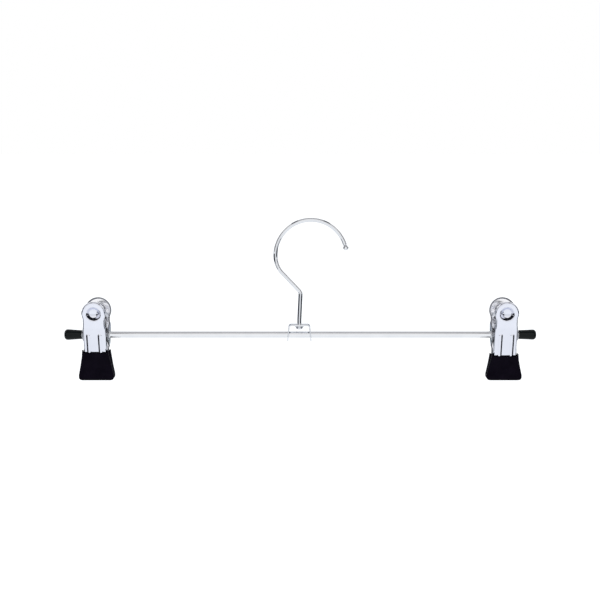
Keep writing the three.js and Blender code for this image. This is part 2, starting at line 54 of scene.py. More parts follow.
ROD_RADIUS, ROD_LENGTH, ROD_END_ROUND = 2.45, 356.4, 0.35
CAP_GRIP, CAP_END_WALL, CAP_NECK_WALL, CAP_END_RADIUS = 11.2, 1.7, 0.7, 2.4
CAP_BULB_WALLS = {"left": 1.35, "right": 1.15}
CAP_LIP_RUN, CAP_LIP_DEPTH, CAP_LIP_ROUND, CAP_SWELL = 0.5, 1, 0.42, 0.04

WIRE_RADIUS, LOOP_RADIUS, LOOP_MIDDLE = 1.6, 26.9, np.array([8.8, 61.0])
LOWER_ARC_RADIUS, SHANK_STRAIGHT, SHANK_BEND_RADIUS = 18.6, 12.0, 5.0
TIP_ANGLE, LOWER_ARC_START, LOWER_ARC_END, SHANK_LEAN = np.radians([16.9, 185.0, 223.5, 2.7])
WIRE_TIP_ROUND, WIRE_FOOT_ROUND, WIRE_FOOT_SINK = 0.35, 0.3, 0.3
BALL_RADIUS, SPIGOT_RADIUS, SPIGOT_LENGTH, SPIGOT_ROOT, SPIGOT_ROUND = 2.15, 0.8, 2.0, 0.3, 0.15
HEAD_FOOT, HEAD_HEIGHT, HEAD_RIM, HEAD_TAPER, HEAD_ROUND = 4.2, 1.4, 0.8, 0.9, 0.4
WASHER_THICKNESS, WASHER_RIM, WASHER_ROUND = 0.7, 1.3, 0.16
SWIVEL_BORE = WIRE_RADIUS + FIT_GAP

BRACKET_SHEET, BRACKET_HALF_WIDTH, BRACKET_DEPTH = 1.0, 7.4, 8.4
BRACKET_BEND, BRACKET_LEG_RIM, BRACKET_SPLAY = 1.3, 2.55, math.radians(5)
BRACKET_UNDERSIDE, BRACKET_EDGE = 6.9, 0.22
BORE_RADIUS = ROD_RADIUS + FIT_GAP

SHEET, SHEET_EDGE = 0.9, 0.2
TAB_RADII, TAB_TOP, TAB_SLOPE = {"front": 9.0, "rear": 10.1}, 26.9, math.tan(math.radians(7))
WAIST_DEPTH, SHOULDER = 12.2, 7.0
JAW_DROP, JAW_CORNER, JAW_BEND_HEIGHT = 33.2, 1.5, -24.0
BODY_HALF_WIDTH, JAW_HALF_WIDTH, FLARE_HEIGHT = 8.8, 10.4, -13.0
EAR_FACES, WAIST_HALF_WIDTHS = {"front": 8.5, "rear": 9.7}, {"front": 8.1, "rear": 8.9}
JAW_TIP_DEPTH, JAW_BEND_DEPTH = 2.9, 3.3
BODY_SLOPE = (WAIST_DEPTH - JAW_BEND_DEPTH) / (SHOULDER - JAW_BEND_HEIGHT)
TIP_SLOPE = (JAW_BEND_DEPTH - JAW_TIP_DEPTH) / (JAW_BEND_HEIGHT + JAW_DROP)
SHOULDER_EASE, JAW_BEND_EASE = 0.6, 0.4
RIM_DEPTH, RIM_BEND = 2.0, 0.75
EAR_BORE, EAR_RADIUS, EAR_FOOT, EAR_RAMP = 3.5, 5.2, -10.0, 1.3
DISH_RADIUS, DISH_DEPTH, BOWL_RADIUS, BOWL_DEPTH = 5.7, 2.75, 3.6, 0.6
DISH_MIDDLE, DISH_EDGE, DISH_BLOCK, DISH_BLOCK_SHARE, DISH_BLUR = 3.2, 6.1, 6.5, 0.87, 0.22
OUTLINE_BLUR = 0.95
RIB_SPACING, RIB_HALF_WIDTH, RIB_HEIGHT, RIB_TOP, RIB_TUCK = 8.8, 1.8, 0.8, 2.6, 1.5

TUBE_RADIUS, TUBE_HALF_LENGTH, TUBE_FLARE, TUBE_FLARE_RIM, TUBE_ROUND = 3.2, 10.4, 0.4, 1.0, 0.2
SPRING_WIRE, SPRING_RADIUS, SPRING_PITCH, SPRING_END_ROUND = 0.6, 4.2, 1.7, 0.25
SPRING_CURLS, SPRING_LEG_ANGLE = 6, math.radians(215)
SPRING_TURN = SPRING_CURLS * 2 * math.pi + (3 * math.pi - 2 * SPRING_LEG_ANGLE)
SPRING_REACH = SPRING_PITCH * SPRING_TURN / (4 * math.pi)

BOOT_FOOT = -34.8
BOOT_HEIGHTS = {"left": 21.7, "right": 18.9}
BOOT_SHOULDERS = {"front": 2.4, "rear": 0.4}
BOOT_SHOULDER_DROP, BOOT_SHOULDER_REACH, BOOT_SHOULDER_RUN = 3.0, 0.3, 0.45
BOOT_OUTER_WALL, BOOT_INNER_WALL, BOOT_TOP_SIDE, BOOT_TIP_SIDE = 1.6, 1.2, 0.7, 2.7
BOOT_CORNER, BOOT_UPRIGHT, GRIP_GAP, GRIP_HEIGHT, GRIP_EASE = 2.4, 4.0, 0.4, 11.5, 0.7
BOOT_FOOT_ROUND, BOOT_RING_ROUND, BOOT_LIP_ROUND, POCKET_ROUND = 1.1, 1.25, 0.45, 0.35
GROOVE_DEPTH, GROOVE_PITCH, GROOVES_FROM, GROOVES_TO, GROOVE_FADE = 0.22, 1.72, 2.0, 10.6, 0.8

CLIP_PLACES = {"left": -156.0, "right": 156.0}
CREASE = math.radians(50)


# Surfaces: a pair of points (n, 3) and four-cornered faces (m, 4). A triangle repeats a corner.

def unit(vectors):
    """The rows of an array, each at length one."""
    return vectors / np.linalg.norm(vectors, axis=1, keepdims=True)


def at(*coordinates):
    """Points from their coordinates, each an array or one shared number."""
    return np.stack(np.broadcast_arrays(*coordinates), -1)


def joined(*runs):
    """Runs of points or numbers, one after the other."""
    return np.concatenate(runs)


def circle(radius, angle, centre=(0, 0)):
    """Points of a plane circle at the given angles."""
    return at(centre[0] + radius * np.cos(angle), centre[1] + radius * np.sin(angle))


def smooth_step(share):
    """From 0 to 1 with level ends: three times the square less twice the cube."""
    return share * share * (3 - 2 * share)


def averaged(values, offsets, spread):
    """The values averaged over a bell that is drawn at the given offsets."""
    bell = np.exp(-0.5 * (offsets / spread) ** 2)
    return np.convolve(values, bell / bell.sum(), "same")


def grid(points, closed=False):
    """A grid of points (rows, columns, 3) as a surface. Each cell joins a point with its neighbour in
    the next column and the two beyond them in the next row; closed joins the last column to the
    first."""
    rows, columns = points.shape[:2]
    r, c = np.meshgrid(np.arange(rows - 1), np.arange(columns - (not closed)), indexing="ij")
    n = (c + 1) % columns
    faces = [r * columns + c, r * columns + n, (r + 1) * columns + n, (r + 1) * columns + c]
    return points.reshape(-1, 3), np.stack(faces, -1).reshape(-1, 4)


def together(*surfaces):
    """Several surfaces as one: their points follow each other, and their faces count on."""
    starts = np.cumsum([0] + [len(points) for points, _ in surfaces[:-1]])
    return (joined(*[points for points, _ in surfaces]),
            joined(*[faces + start for (_, faces), start in zip(surfaces, starts)]))


def welded(surface):
    """The same surface with points closer than a thousandth of a millimetre made one, and without the
    faces that this closes up and the points that no face uses."""
    points, faces = surface
    keys = np.floor(points * 1000 + 0.37).astype(np.int64)
    _, first, index = np.unique(keys, axis=0, return_index=True, return_inverse=True)
    faces = index.reshape(-1)[faces]
    faces = faces[(faces != np.roll(faces, -1, axis=1)).sum(axis=1) >= 3]
    used, place = np.unique(faces, return_inverse=True)
    return points[first[used]], place.reshape(faces.shape)


def flipped(surface):
    """The surface with its faces turned the other way."""
    return surface[0], surface[1][:, ::-1]


def outward(surface):
    """The same closed surface with its faces turned outwards: its signed volume, the sum of each
    triangle's corner product over six, is made positive."""
    points, faces = surface
    a, b, c, d = (points[faces[:, i]] for i in range(4))
    volume = np.einsum("ij,ij->", a, np.cross(b, c)) + np.einsum("ij,ij->", a, np.cross(c, d))
    return surface if volume > 0 else flipped(surface)


def mirrored(surface):
    """The surface reflected in the plane x = 0, with its faces turned back."""
    return flipped((surface[0] * [-1, 1, 1], surface[1]))


def half_turned(surface):
    """The surface turned half a turn about the upright axis: x and y change sign."""
    return surface[0] * [-1, -1, 1], surface[1]


def turned(profile, axis="z", steps=96):
    """A profile of radius and height turned about an axis: each point runs round a circle of its
    radius."""
    radius, height = np.asarray(profile, float).T[..., None]
    angle = np.linspace(0, 2 * math.pi, steps, endpoint=False)
    across = radius * np.cos(angle), radius * np.sin(angle)
    points = at(*across, height) if axis == "z" else at(height, *across)
    return outward(welded(grid(points, closed=True)))


def rounded(corners, radius):
    """A profile with its inner corners rounded: each gives way to a parabola that touches both sides
    at the given distance from the corner, or at under half the shorter side."""
    corners = np.asarray(corners, float)
    corner = corners[1:-1]
    sides = corners[:-2] - corner, corners[2:] - corner
    lengths = [np.linalg.norm(side, axis=1, keepdims=True) for side in sides]
    reach = np.minimum(radius, 0.49 * np.minimum(*lengths))
    start, end = (corner + side / length * reach for side, length in zip(sides, lengths))
    t = np.linspace(0, 1, 7)[None, :, None]
    bends = (1 - t) ** 2 * start[:, None] + 2 * t * (1 - t) * corner[:, None] + t ** 2 * end[:, None]
    return joined(corners[:1], bends.reshape(-1, 2), corners[-1:])


def wire(path, across, radii, sides):
    """A round wire along a path: at each point a circle of its radius lies square to the path,
    measured from the given sideways direction."""
    ahead = np.gradient(path, axis=0)
    ahead[0], ahead[-1] = path[2] - path[0], path[-1] - path[-3]
    ahead = unit(ahead)
    across = unit(across - (across * ahead).sum(1, keepdims=True) * ahead)
    other = np.cross(ahead, across)
    angle = np.linspace(0, 2 * math.pi, sides, endpoint=False)[:, None]
    ring = np.cos(angle) * across[:, None] + np.sin(angle) * other[:, None]
    return outward(welded(grid(path[:, None] + radii[:, None, None] * ring, closed=True)))


def wire_end(start, direction, radius, rim):
    """The rings of a wire's rounded end: places behind the start along the direction, and radii that
    grow from nothing to full along a quarter of an ellipse as deep as the rim."""
    t = np.linspace(0, math.pi / 2, 6)
    shrink = joined([0], radius - rim + rim * np.sin(t))
    back = joined([0], rim - rim * np.cos(t))
    return start + back[:, None] * direction, shrink


def skin(middle, thickness, edge):
    """The skin of a stamped sheet. Its middle surface is pushed out by half the thickness both ways
    along its normals, and each open edge gets a squarish round: a superellipse from face to face
    that stands out by the edge length. The last array tells each face's place: 0 and 1 for the two
    sides of the sheet, 2 for its edge."""
    rings, squareness = 6, 0.6
    points, faces = welded(middle)
    count = len(points)
    corner = points[faces]
    area = np.cross(corner[:, 2] - corner[:, 0], corner[:, 3] - corner[:, 1])
    normals = np.zeros_like(points)
    for i in range(4):
        np.add.at(normals, faces[:, i], area)
    normals = unit(normals)

    start, end = faces.ravel(), np.roll(faces, -1, axis=1).ravel()
    real = start != end
    start, end = start[real], end[real]
    single = ~np.isin(start * count + end, end * count + start)
    start, end = start[single], end[single]
    out = np.zeros_like(points)
    away = unit(np.cross(points[end] - points[start], normals[start]))
    np.add.at(out, start, away)
    np.add.at(out, end, away)
    rim = np.unique(start)
    place = np.zeros(count, int)
    place[rim] = np.arange(len(rim))

    t = np.linspace(math.pi / 2, -math.pi / 2, rings + 1)[1:-1, None, None]
    forward = np.abs(np.cos(t)) ** squareness * edge
    upward = np.sign(np.sin(t)) * np.abs(np.sin(t)) ** squareness * thickness / 2
    round_edge = points[rim] + forward * unit(out[rim]) + upward * normals[rim]
    half = normals * thickness / 2
    everything = joined(points + half, points - half, round_edge.reshape(-1, 3))

    def ring(i, of):
        if i == 0:
            return of
        if i == rings:
            return of + count
        return 2 * count + (i - 1) * len(rim) + place[of]

    bands = [np.stack([ring(i, end), ring(i, start), ring(i + 1, start), ring(i + 1, end)], -1)
             for i in range(rings)]
    places = np.repeat([0, 1, 2], [len(faces), len(faces), rings * len(start)])
    return *outward((everything, joined(faces, faces[:, ::-1] + count, *bands))), places


# Objects

def linked(name, data):
    """A new object in the scene."""
    thing = bpy.data.objects.new(name, data)
    bpy.context.scene.collection.objects.link(thing)
    return thing


def make_piece(name, surface, body, replaced, material, about=(0, 0, 0), places=None):
    """A mesh object at the origin, unturned, that rides on a body. The surface is moved to its place.
    With several materials, the places give each face's own."""
    points, faces = surface
    points = (points + np.asarray(about, float) + ROD_MIDDLE) * MILLIMETRE
    kept = faces != np.roll(faces, -1, axis=1)
    totals = kept.sum(axis=1)
    whole = totals >= 3
    faces, kept, totals = faces[whole], kept[whole], totals[whole]
    loops = faces[kept]
    starts = np.cumsum(totals) - totals
    mesh = bpy.data.meshes.new(name)
    mesh.vertices.add(len(points))
    mesh.vertices.foreach_set("co", points.astype(np.float32).ravel())
    mesh.loops.add(len(loops))
    mesh.loops.foreach_set("vertex_index", loops.astype(np.int32))
    mesh.polygons.add(len(totals))
    mesh.polygons.foreach_set("loop_start", starts.astype(np.int32))
    mesh.polygons.foreach_set("use_smooth", np.ones(len(totals), bool))
    mesh.update(calc_edges=True)
    mesh.set_sharp_from_angle(angle=CREASE)
    for finish in material if places is not None else [material]:
        mesh.materials.append(finish)
    if places is not None:
        mesh.polygons.foreach_set("material_index", places[whole].astype(np.int32))
    piece = linked(name, mesh)
    if body is not None:
        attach(piece, body)
    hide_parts(replaced)
    return piece


# Rod, end caps, hook and bracket

def rod_surface():
    """A cylinder whose ends have a small round, so that its profile is a softened rectangle."""
    end = ROD_LENGTH / 2
    side = [[0, -end], [ROD_RADIUS, -end], [ROD_RADIUS, end], [0, end]]
    return turned(rounded(side, ROD_END_ROUND), "x")


def cap_surface(side):
    """A dipped sleeve on the +X end. Outside, its radius grows from the neck to the bulb along a
    smooth step, with a shallow swell, and closes in a quarter round; inside is the blind bore."""
    mouth, bore_end = ROD_LENGTH / 2 - CAP_GRIP, ROD_LENGTH / 2 + FIT_GAP
    outer_end = bore_end + CAP_END_WALL
    neck, bulb = BORE_RADIUS + CAP_NECK_WALL, BORE_RADIUS + CAP_BULB_WALLS[side]
    run = np.linspace(0, 1, 40)
    along = mouth + CAP_LIP_RUN + (outer_end - CAP_END_RADIUS - mouth - CAP_LIP_RUN) * run
    radius = neck + (bulb - neck) * smooth_step(run) + CAP_SWELL * np.sin(2.2 * math.pi * run)
    outside = at(np.minimum(radius, bulb), along)
    crown = circle(CAP_END_RADIUS, np.linspace(0, math.pi / 2, 16)[1:],
                   (bulb - CAP_END_RADIUS, outer_end - CAP_END_RADIUS))
    lip = rounded([[BORE_RADIUS, mouth + CAP_LIP_DEPTH], [BORE_RADIUS, mouth], [neck, mouth],
                   [neck, mouth + CAP_LIP_RUN]], CAP_LIP_ROUND)
    profile = joined(
        [[0, bore_end], [BORE_RADIUS, bore_end]], lip[:-1], outside, crown, [[0, outer_end]])
    return turned(profile, "x", 80)


def arc_points(centre, radius, start, end, spacing=0.4):
    """Points along an arc in x and z, a spacing apart, without the last."""
    steps = max(2, int(abs(end - start) * radius / spacing))
    return circle(radius, np.linspace(start, end, steps, endpoint=False), centre)


def line_points(start, end):
    """Points along a straight run, half a millimetre apart, without the last."""
    steps = max(2, int(np.linalg.norm(end - start) / 0.5))
    return start + (end - start) * np.linspace(0, 1, steps, endpoint=False)[:, None]


def hook_path():
    """The wire's middle line in x and z: up the shank, round the bend, along the slant, round the
    small lower arc and round the loop to the tip. Each stretch leaves the one before along its
    tangent."""
    lower = circle(LOOP_RADIUS - LOWER_ARC_RADIUS, LOWER_ARC_START, LOOP_MIDDLE)
    slant_end = circle(LOWER_ARC_RADIUS, LOWER_ARC_END, lower)
    slant = np.array([math.sin(LOWER_ARC_END), -math.cos(LOWER_ARC_END)])
    start = np.array([0.0, SHANK_STRAIGHT])
    up = np.array([math.sin(SHANK_LEAN), math.cos(SHANK_LEAN)])
    gap = slant_end - start
    reach = (gap[0] * slant[1] - gap[1] * slant[0]) / (up[0] * slant[1] - up[1] * slant[0])
    corner = start + up * reach
    turn = math.acos(up @ slant)
    tangent = SHANK_BEND_RADIUS * math.tan(turn / 2)
    bend_start, bend_end = corner - up * tangent, corner + slant * tangent
    bend_centre = bend_start + SHANK_BEND_RADIUS * np.array([-up[1], up[0]])
    foot = np.array([0.0, HEAD_FOOT + WIRE_FOOT_SINK])
    return joined(
        line_points(foot, start), line_points(start, bend_start),
        arc_points(bend_centre, SHANK_BEND_RADIUS, -SHANK_LEAN, turn - SHANK_LEAN, 0.25),
        line_points(bend_end, slant_end),
        arc_points(lower, LOWER_ARC_RADIUS, LOWER_ARC_END, LOWER_ARC_START),
        arc_points(LOOP_MIDDLE, LOOP_RADIUS, LOWER_ARC_START, TIP_ANGLE),
        [circle(LOOP_RADIUS, TIP_ANGLE, LOOP_MIDDLE)])


def tip_frame():
    """The ball's middle and the direction in which the wire arrives at it."""
    onward = np.array([math.sin(TIP_ANGLE), 0, -math.cos(TIP_ANGLE)])
    tip = np.insert(circle(LOOP_RADIUS, TIP_ANGLE, LOOP_MIDDLE), 1, 0)
    return tip + onward * BALL_RADIUS, onward


def laid_along(surface, centre, direction):
    """A surface drawn about z, laid along a direction in the x-z plane and moved to a centre."""
    axes = np.stack([[direction[2], 0, -direction[0]], [0, 1, 0], direction])
    return surface[0] @ axes + centre, surface[1]


def hook_surface():
    """The bent wire with its upset head below and its reduced spigot at the tip."""
    path = np.insert(hook_path(), 1, 0, axis=1)
    ahead = unit(path[-1:] - path[-2:-1])[0]
    end, end_radii = wire_end(path[-1], -ahead, WIRE_RADIUS, WIRE_TIP_ROUND)
    foot, foot_radii = wire_end(path[0], np.array([0, 0, 1.0]), WIRE_RADIUS, WIRE_FOOT_ROUND)
    clear = (path[:, 2] > foot[-1, 2] + 0.2) & (np.linalg.norm(path - path[-1], axis=1) > 0.5)
    body = path[clear]
    line = joined(foot, body, end[::-1])
    radii = joined(foot_radii, np.full(len(body), WIRE_RADIUS), end_radii[::-1])
    rod = wire(line, np.tile([0.0, 1.0, 0.0], (len(line), 1)), radii, 40)
    head_radius, head_top = SWIVEL_BORE + HEAD_RIM, HEAD_FOOT + HEAD_HEIGHT
    head = turned(rounded([
        [0, HEAD_FOOT], [head_radius - HEAD_TAPER, HEAD_FOOT],
        [head_radius, HEAD_FOOT + HEAD_HEIGHT / 2], [head_radius, head_top], [0, head_top]],
        HEAD_ROUND), steps=64)
    root, spigot_top = -BALL_RADIUS - SPIGOT_ROOT, SPIGOT_LENGTH - BALL_RADIUS
    spigot = turned(rounded([
        [0, root], [SPIGOT_RADIUS, root], [SPIGOT_RADIUS, spigot_top], [0, spigot_top]],
        SPIGOT_ROUND), steps=32)
    return together(rod, head, laid_along(spigot, *tip_frame()))


def ball_surface():
    """A ball with a blind bore towards the wire: its profile is a circle, the bore and its floor."""
    bore, floor = SPIGOT_RADIUS + FIT_GAP, SPIGOT_LENGTH - BALL_RADIUS + FIT_GAP
    round_side = circle(BALL_RADIUS, np.linspace(-math.acos(bore / BALL_RADIUS), math.pi / 2, 48))
    round_side[-1, 0] = 0
    ball = turned(joined([[0, floor], [bore, floor]], round_side), steps=72)
    return laid_along(ball, *tip_frame())


def washer_surface():
    """A flat ring with softened edges under the bracket."""
    foot = HEAD_FOOT + HEAD_HEIGHT + FIT_GAP
    top, rim, bore = foot + WASHER_THICKNESS, SWIVEL_BORE + WASHER_RIM, SWIVEL_BORE
    middle = (bore + rim) / 2
    return turned(rounded([
        [middle, foot], [rim, foot], [rim, top], [bore, top], [bore, foot], [middle, foot]],
        WASHER_ROUND), steps=72)


def bored_patch(outline, bore, rings=10):
    """A patch between a closed outline and a bore: rays from the bore's points to the outline's,
    both (n, 3), cut into rings whose steps widen outwards."""
    share = (np.linspace(0, 1, rings + 1) ** 1.3)[:, None, None]
    return grid(bore + (outline - bore) * share, closed=True)


def bracket_surface():
    """A strip folded into a bridge. The top is flat round the shank's bore, each bend is a sixth of a
    turn and more at one radius, and each leg is flat, leans out and ends in a half round below its
    bore. The leg's bored part starts as far above the bore's middle as the strip is half wide."""
    half, middle = BRACKET_DEPTH / 2 - BRACKET_EDGE, BRACKET_BEND + BRACKET_SHEET / 2
    top = BRACKET_UNDERSIDE + BRACKET_SHEET / 2
    width = np.linspace(-half, half, 25)
    run = width[:-1]

    square = joined(at(run, -half), at(half, run), at(-run, half), at(-half, -run))
    angle = np.arctan2(square[:, 1], square[:, 0])
    on_top = lambda flat: at(*flat.T, top)
    roof = bored_patch(on_top(square), on_top(circle(SWIVEL_BORE + BRACKET_EDGE, angle)))

    bend_x, bend_z = BRACKET_HALF_WIDTH - BRACKET_BEND, BRACKET_UNDERSIDE - BRACKET_BEND
    flat_x = np.linspace(half, bend_x, 9)[:-1]
    bend = circle(middle, np.linspace(math.pi / 2, BRACKET_SPLAY, 15), (bend_x, bend_z))
    leg_x = lambda z: bend[-1, 0] + (bend[-1, 1] - z) * math.tan(BRACKET_SPLAY)
    leg_z = np.linspace(bend[-1, 1], half, 5)[1:]
    line = joined(at(flat_x, top), bend, at(leg_x(leg_z), leg_z))
    strip = grid(at(line[:, :1], width, line[:, 1:]))

    foot_centre = BRACKET_DEPTH / 2 - (BORE_RADIUS + BRACKET_LEG_RIM)
    side_z = np.linspace(half, foot_centre, 14)[:-1]
    foot_round = circle(half, np.linspace(0, -math.pi, 49), (0, foot_centre))
    outline = joined(at(run, half), at(half, side_z), foot_round, at(-half, side_z[:0:-1]))
    angle = np.arctan2(outline[:, 1], outline[:, 0])
    on_leg = lambda flat: at(leg_x(flat[:, 1]), *flat.T)
    foot = bored_patch(on_leg(outline), on_leg(circle(BORE_RADIUS + BRACKET_EDGE, angle)))
    leg = together(strip, flipped(foot))
    return skin(together(roof, leg, mirrored(leg)), BRACKET_SHEET, BRACKET_EDGE)[:2]


# Clip plates, drawn as the front one about the rod

def sheet_depth(height):
    """Depth of the undished sheet's middle from the clip's middle plane. It falls in three straight
    slopes, body, tab and jaw tip, that run into each other over about a millimetre: each change of
    slope is multiplied by k log(1 + exp(distance / k))."""
    ease = lambda distance, k: k * np.logaddexp(0, distance / k)
    return (WAIST_DEPTH + BODY_SLOPE * (height - SHOULDER)
            + (TAB_SLOPE - BODY_SLOPE) * ease(height - SHOULDER, SHOULDER_EASE)
            + (BODY_SLOPE - TIP_SLOPE) * ease(JAW_BEND_HEIGHT - height, JAW_BEND_EASE))


def sheet_frame(x, z):
    """Points on the undished sheet's middle, its outward normals and its upward directions."""
    step = 0.01
    slope = (sheet_depth(z + step) - sheet_depth(z - step)) / (2 * step)
    length = np.sqrt(1 + slope ** 2)
    return (at(x, -sheet_depth(z), z), at(0, -1 / length, -slope / length),
            at(0, -slope / length, 1 / length))


def rib_rise(x, z, foot):
    """Height of the two beads: a squared cosine of the distance to a bead's line, a little fuller."""
    beyond = np.maximum(0, np.maximum(z - RIB_TOP + RIB_HALF_WIDTH, foot - z))
    distance = np.hypot(np.abs(x) - RIB_SPACING / 2, beyond) / RIB_HALF_WIDTH
    bead = np.where(distance < 1, np.cos(np.minimum(distance, 1) * math.pi / 2) ** 2, 0)
    return RIB_HEIGHT * bead ** 0.85


def dish_fall(x, z, middle):
    """Depth of the thumb dish by the distance from the tab's middle: a shallow ball's cap, a steep
    straight wall and the flat, averaged over a short bell so that they run into each other."""
    step, reach = 0.005, 12
    fine = np.linspace(-reach, reach, round(2 * reach / step) + 1)
    ball = (BOWL_RADIUS ** 2 + BOWL_DEPTH ** 2) / (2 * BOWL_DEPTH)
    cap = DISH_DEPTH - ball + np.sqrt(ball ** 2 - np.minimum(np.abs(fine), BOWL_RADIUS) ** 2)
    wall = (DISH_DEPTH - BOWL_DEPTH) * (DISH_RADIUS - np.abs(fine)) / (DISH_RADIUS - BOWL_RADIUS)
    rough = np.where(np.abs(fine) < BOWL_RADIUS, cap, np.maximum(wall, 0))
    smooth = averaged(rough, np.arange(-200, 201) * step, DISH_BLUR)
    return np.interp(np.hypot(x, (z - middle) * math.hypot(1, TAB_SLOPE)), fine, smooth)


def dish_patch(face_x, face_z, rows, columns, foot, middle):
    """The round middle of a tab: rays from the dish's middle to the block of the face's grid that it
    takes the place of. Rings are close together on the steep wall."""
    (bottom, top), (left, right) = rows, columns
    around = lambda face: joined(
        face[top, left:right], face[bottom + 1:top + 1, right][::-1],
        face[bottom, left + 1:right + 1][::-1], face[bottom:top, left])
    loop_x, loop_rise = around(face_x), around(face_z) - middle
    reach = np.hypot(loop_x, loop_rise * math.hypot(1, TAB_SLOPE))
    near = joined(np.linspace(0, DISH_MIDDLE, 9)[:-1], np.linspace(DISH_MIDDLE, DISH_EDGE, 25))
    edge = DISH_EDGE / reach
    beyond = edge + (1 - edge) * np.array([[0.35], [0.7], [1.0]])
    share = joined(near[:, None] / reach, beyond)
    return grid(pressed(loop_x * share, middle + loop_rise * share, foot, middle), closed=True)


def pressed(x, z, foot, middle):
    """Points of the pressed sheet's middle: the flat sheet, moved out by the ribs and in by the
    dish."""
    point, normal, _ = sheet_frame(x, z)
    return point + normal * (rib_rise(x, z, foot) - dish_fall(x, z, middle))[..., None]


def jaw_half_width(z):
    """Half-width of the jaw at a height: the body's down to the flare, then growing evenly."""
    share = (FLARE_HEIGHT - z) / (JAW_DROP + FLARE_HEIGHT)
    return BODY_HALF_WIDTH + (JAW_HALF_WIDTH - BODY_HALF_WIDTH) * np.maximum(0, share)


def half_width(z, plate):
    """Half-width of a plate at a height up to its tab's middle: the jaw's flare, the ear stretch, the
    waist and the tab's circle, averaged over a short bell so that no corner is left. Over the tab's
    foot the average passes smoothly into the true circle."""
    ears, neck, radius = EAR_FACES[plate], WAIST_HALF_WIDTHS[plate], TAB_RADII[plate]
    middle = TAB_TOP - radius
    fine = np.linspace(-JAW_DROP - 8, TAB_TOP, 1600)
    tab_foot = middle - math.sqrt(radius ** 2 - neck ** 2)
    heights = [EAR_FOOT - EAR_RAMP, EAR_FOOT, SHOULDER, SHOULDER + EAR_RAMP, tab_foot]
    widths = [BODY_HALF_WIDTH, ears, ears, neck, neck]
    rough = np.where(fine < heights[0], jaw_half_width(fine), np.interp(fine, heights, widths))
    tab = np.sqrt(np.maximum(0, radius ** 2 - (fine - middle) ** 2))
    rough = np.where(fine > tab_foot, tab, rough)
    step = fine[1] - fine[0]
    smooth = averaged(rough, np.arange(-4, 4 + step, step), OUTLINE_BLUR)
    share = smooth_step(np.clip((fine - tab_foot + 0.5) / 3.5, 0, 1))
    return np.interp(z, fine, smooth * (1 - share) + rough * share)


def plate_outline(wall_foot, plate):
    """Right-hand outline from the wall's foot up to the tab's top, in x and z, with its outward
    normals."""
    radius = TAB_RADII[plate]
    middle = TAB_TOP - radius
    rising = np.linspace(wall_foot, middle, int((middle - wall_foot) / 0.3) + 1)[:-1]
    outline = joined(
        at(half_width(rising, plate), rising),
        circle(radius, np.linspace(0, math.pi / 2, 52), (0, middle)))
    ahead = unit(np.gradient(outline, axis=0))
    normal = at(ahead[:, 1], -ahead[:, 0])
    normal[-1] = [0, 1]
    return outline, normal


def rim_and_ear(x, z, normal, plate):
    """The right-hand wall: a quarter bend along the outline, a short upright rim, and the ear, a
    patch between the rim and the bore whose nose is a circle met by two tangents."""
    point, out, up = sheet_frame(x, z)
    sideways = normal[:, :1] * np.array([1.0, 0, 0]) + normal[:, 1:] * up
    turn = np.linspace(0, math.pi / 2, 8)[:, None, None]
    bend = point + RIM_BEND * (np.sin(turn) * sideways - (1 - np.cos(turn)) * out)
    fall = np.linspace(0, RIM_DEPTH - RIM_BEND - SHEET_EDGE, 5)[:, None, None]
    rim = bend[-1] - fall * out
    low, high = (np.argmin(np.abs(z - height)) for height in (EAR_FOOT, SHOULDER))

    wall_x, nose = EAR_FACES[plate] - SHEET / 2, EAR_RADIUS - SHEET_EDGE
    in_wall = lambda radius, angle: at(wall_x, *circle(radius, angle).T)

    def tangent_turn(corner, sign):
        angle = math.atan2(corner[2], corner[1])
        return angle + sign * math.acos(nose / math.hypot(corner[1], corner[2]))

    upper_corner, lower_corner = rim[-1, high], rim[-1, low]
    upper, lower = tangent_turn(upper_corner, -1), tangent_turn(lower_corner, 1)
    arc = in_wall(nose, np.linspace(upper, lower, 49))
    share = np.linspace(0, 1, 12)[1:-1, None]
    outline = joined(
        rim[0, low:high + 1], rim[1:, high], upper_corner + share * (arc[0] - upper_corner), arc,
        arc[-1] + share * (lower_corner - arc[-1]), rim[1:, low][::-1])
    angle = np.arctan2(outline[:, 2], outline[:, 1])
    ear = bored_patch(outline, in_wall(EAR_BORE + SHEET_EDGE, angle), 12)
    walls = grid(bend), grid(rim[:, :low + 1]), grid(rim[:, high:])
    return [flipped(wall) for wall in walls] + [ear]


